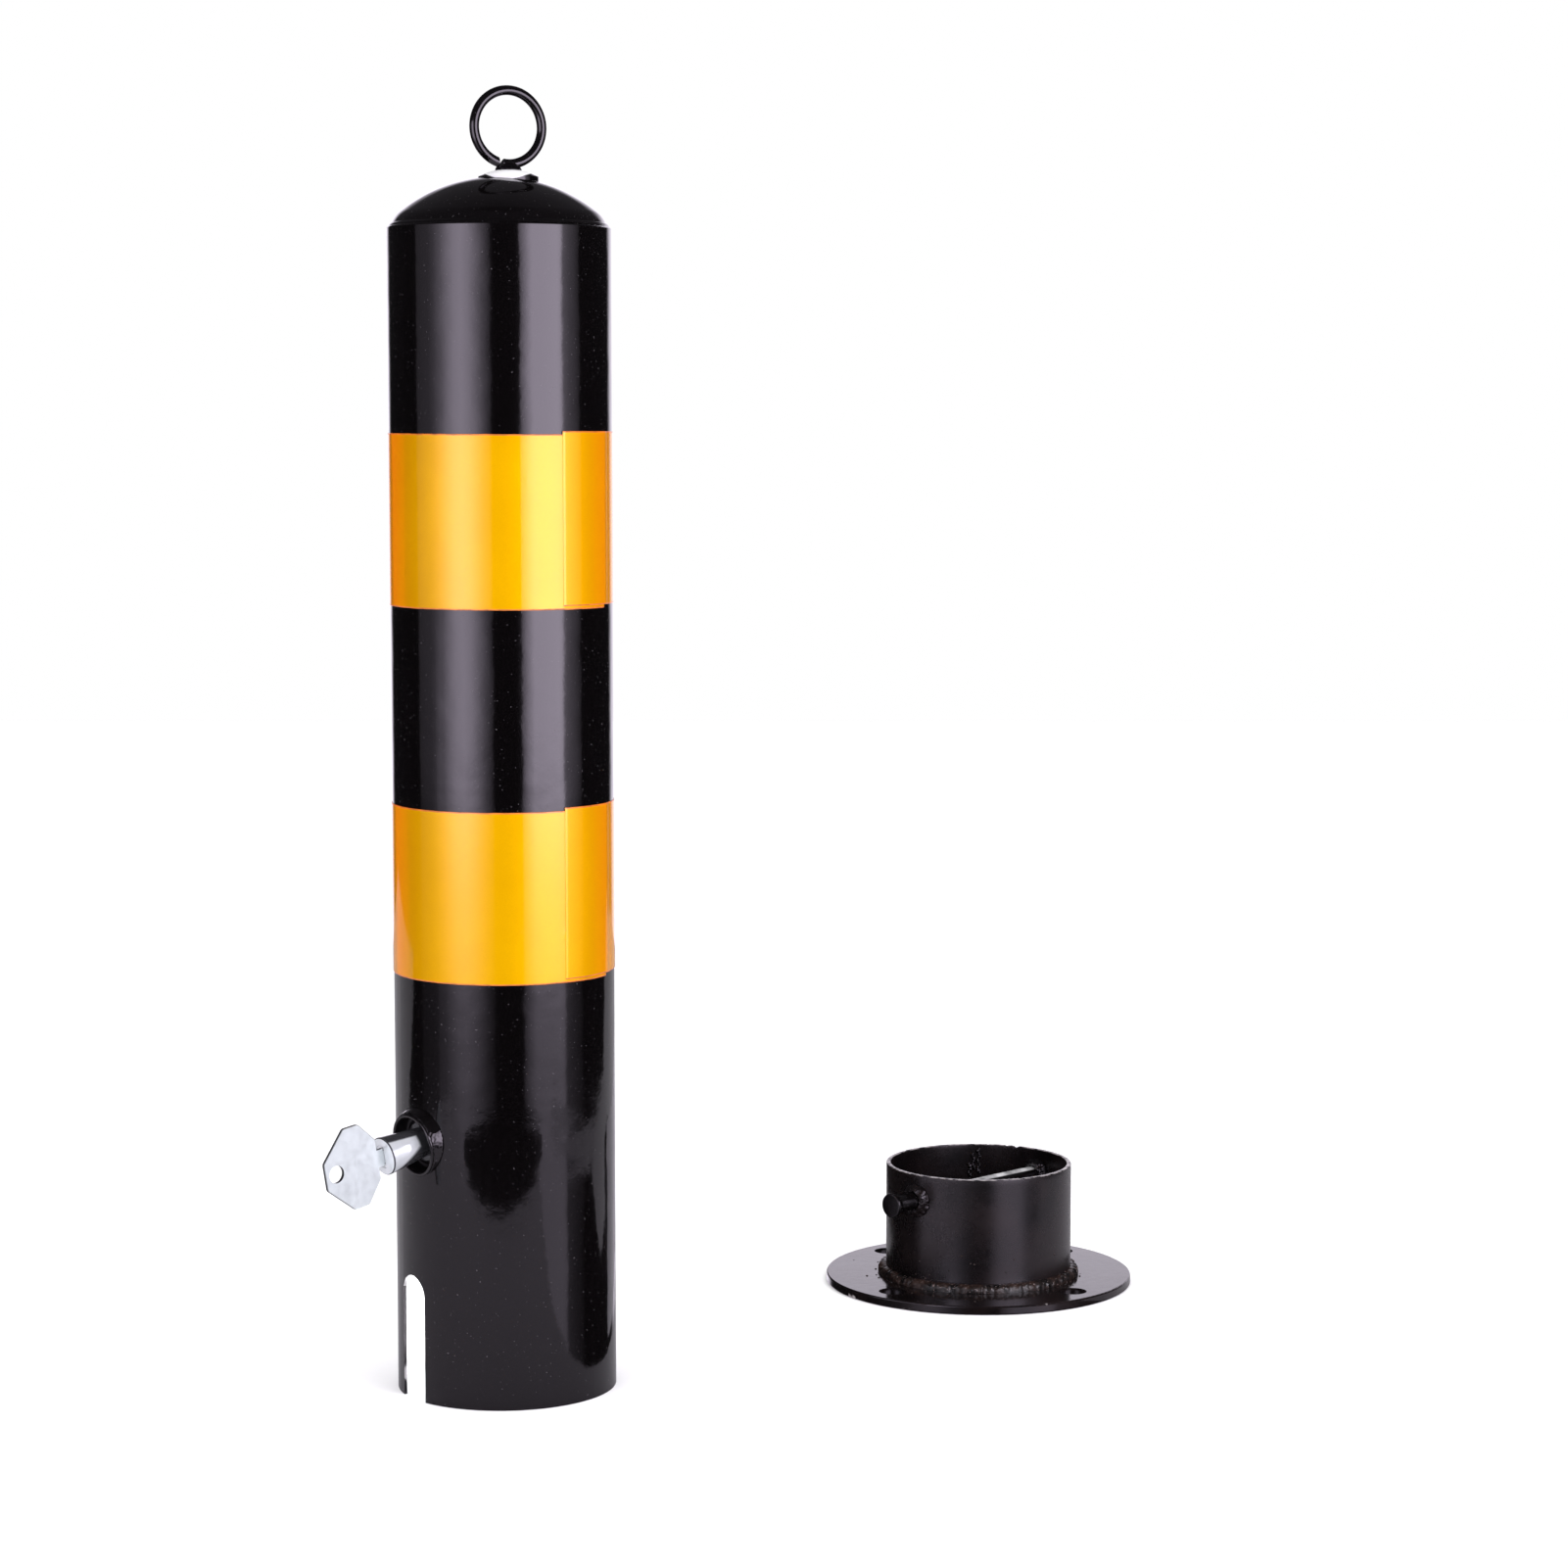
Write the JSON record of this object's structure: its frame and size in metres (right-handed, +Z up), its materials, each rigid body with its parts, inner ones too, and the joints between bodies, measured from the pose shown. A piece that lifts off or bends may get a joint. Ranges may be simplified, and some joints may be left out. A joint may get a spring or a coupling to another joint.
{
  "type": "removable bollard",
  "caption": "Removable steel bollard with a domed cap, a lifting ring, two reflective bands and a key lock in its side, beside its flanged base with a sleeve and a cross bar.",
  "frame": {"origin": "centre of the anchor-hole circle on the underside of the base flange, at ground level", "axes": "+Z up; -Y is the front, towards the viewer of the picture; +X to the right. The post stands lifted off, to the left and in front of the base."},
  "size_m": [0.4341, 0.3996, 0.6711],
  "materials": {
    "black_paint": "glossy black paint on steel",
    "weld_paint": "thin black paint over a rough weld, rusty in places",
    "yellow_film": "glossy amber yellow reflective film",
    "chrome_plate": "bright chrome plate",
    "key_plate": "bright nickel plate, flat and lightly brushed",
    "zinc_plate": "zinc plate",
    "brass_plate": "plain brass"
  },
  "bodies": {
    "root": {"base_flange": "black_paint", "base_sleeve": "black_paint", "base_weld": "weld_paint", "cross_bar": "black_paint", "stub_weld": "black_paint", "bar_end_weld": "black_paint", "post_tube": "black_paint", "dome_cap": "black_paint", "cap_weld": "black_paint", "ring_seat": "black_paint", "lifting_ring": "black_paint", "ring_weld": "black_paint", "lower_band": "yellow_film", "upper_band": "yellow_film", "lock_collar": "black_paint", "collar_weld": "black_paint", "lock_barrel": "chrome_plate", "barrel_circlip": "zinc_plate", "barrel_nut": "zinc_plate"},
    "plug": {"lock_plug": "chrome_plate", "wafer_tumblers": "brass_plate", "stop_washer": "zinc_plate", "hook_arm": "zinc_plate", "tail_washer": "zinc_plate", "tail_nut": "zinc_plate"},
    "key": {"key": "key_plate"}
  },
  "joints": [
    {"name": "key_turn", "type": "hinge", "parent": "root", "child": "plug", "pos_m": [-0.30136, -0.27114, 0.1345], "axis": [-0.7319, -0.659, -0.1736], "range_deg": [0, 18]},
    {"name": "key_pull", "type": "slide", "parent": "plug", "child": "key", "axis": [-0.7319, -0.659, -0.1736], "range_m": [0, 0.03]}
  ]
}
